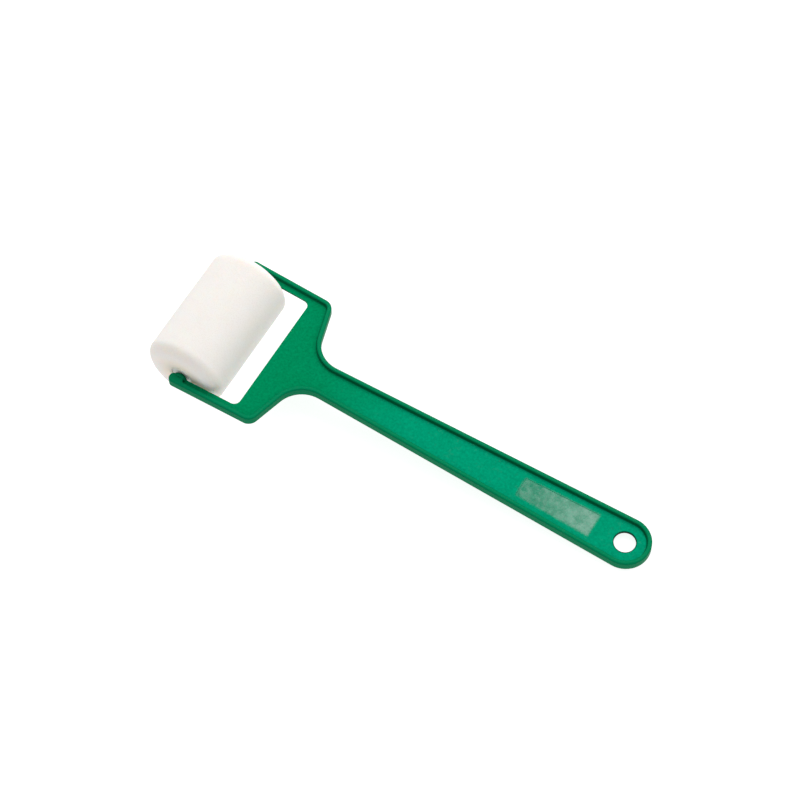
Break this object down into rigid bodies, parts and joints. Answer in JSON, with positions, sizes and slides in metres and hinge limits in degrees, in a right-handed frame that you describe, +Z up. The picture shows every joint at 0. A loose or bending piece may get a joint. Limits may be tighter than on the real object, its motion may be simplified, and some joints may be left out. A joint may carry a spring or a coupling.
{
  "type": "foam rubber hand roller",
  "caption": "Foam-rubber hand roller on a moulded plastic fork handle; the roller spins on pins inside the arms, and the handle ends in a hang hole.",
  "frame": {"origin": "on the surface that the tool lies on, under the middle of the whole object's box", "axes": "+X from the roller towards the hang hole, along the handle's length; +Y along the roller's axis; +Z up from the surface that the tool lies on"},
  "size_m": [0.2428, 0.073, 0.0393],
  "materials": {
    "handle_plastic": "satin",
    "foam_rubber": "matte",
    "core_plastic": "satin"
  },
  "bodies": {
    "handle": {"handle_frame": "handle_plastic"},
    "roller": {"foam_sleeve": "foam_rubber", "core_tube": "core_plastic", "left_end_plug": "core_plastic", "right_end_plug": "core_plastic"}
  },
  "joints": [
    {"name": "roller_spin", "type": "hinge", "parent": "handle", "child": "roller", "pos_m": [-0.10177, 0, 0.01965], "axis": [0, 1, 0], "continuous": true}
  ]
}
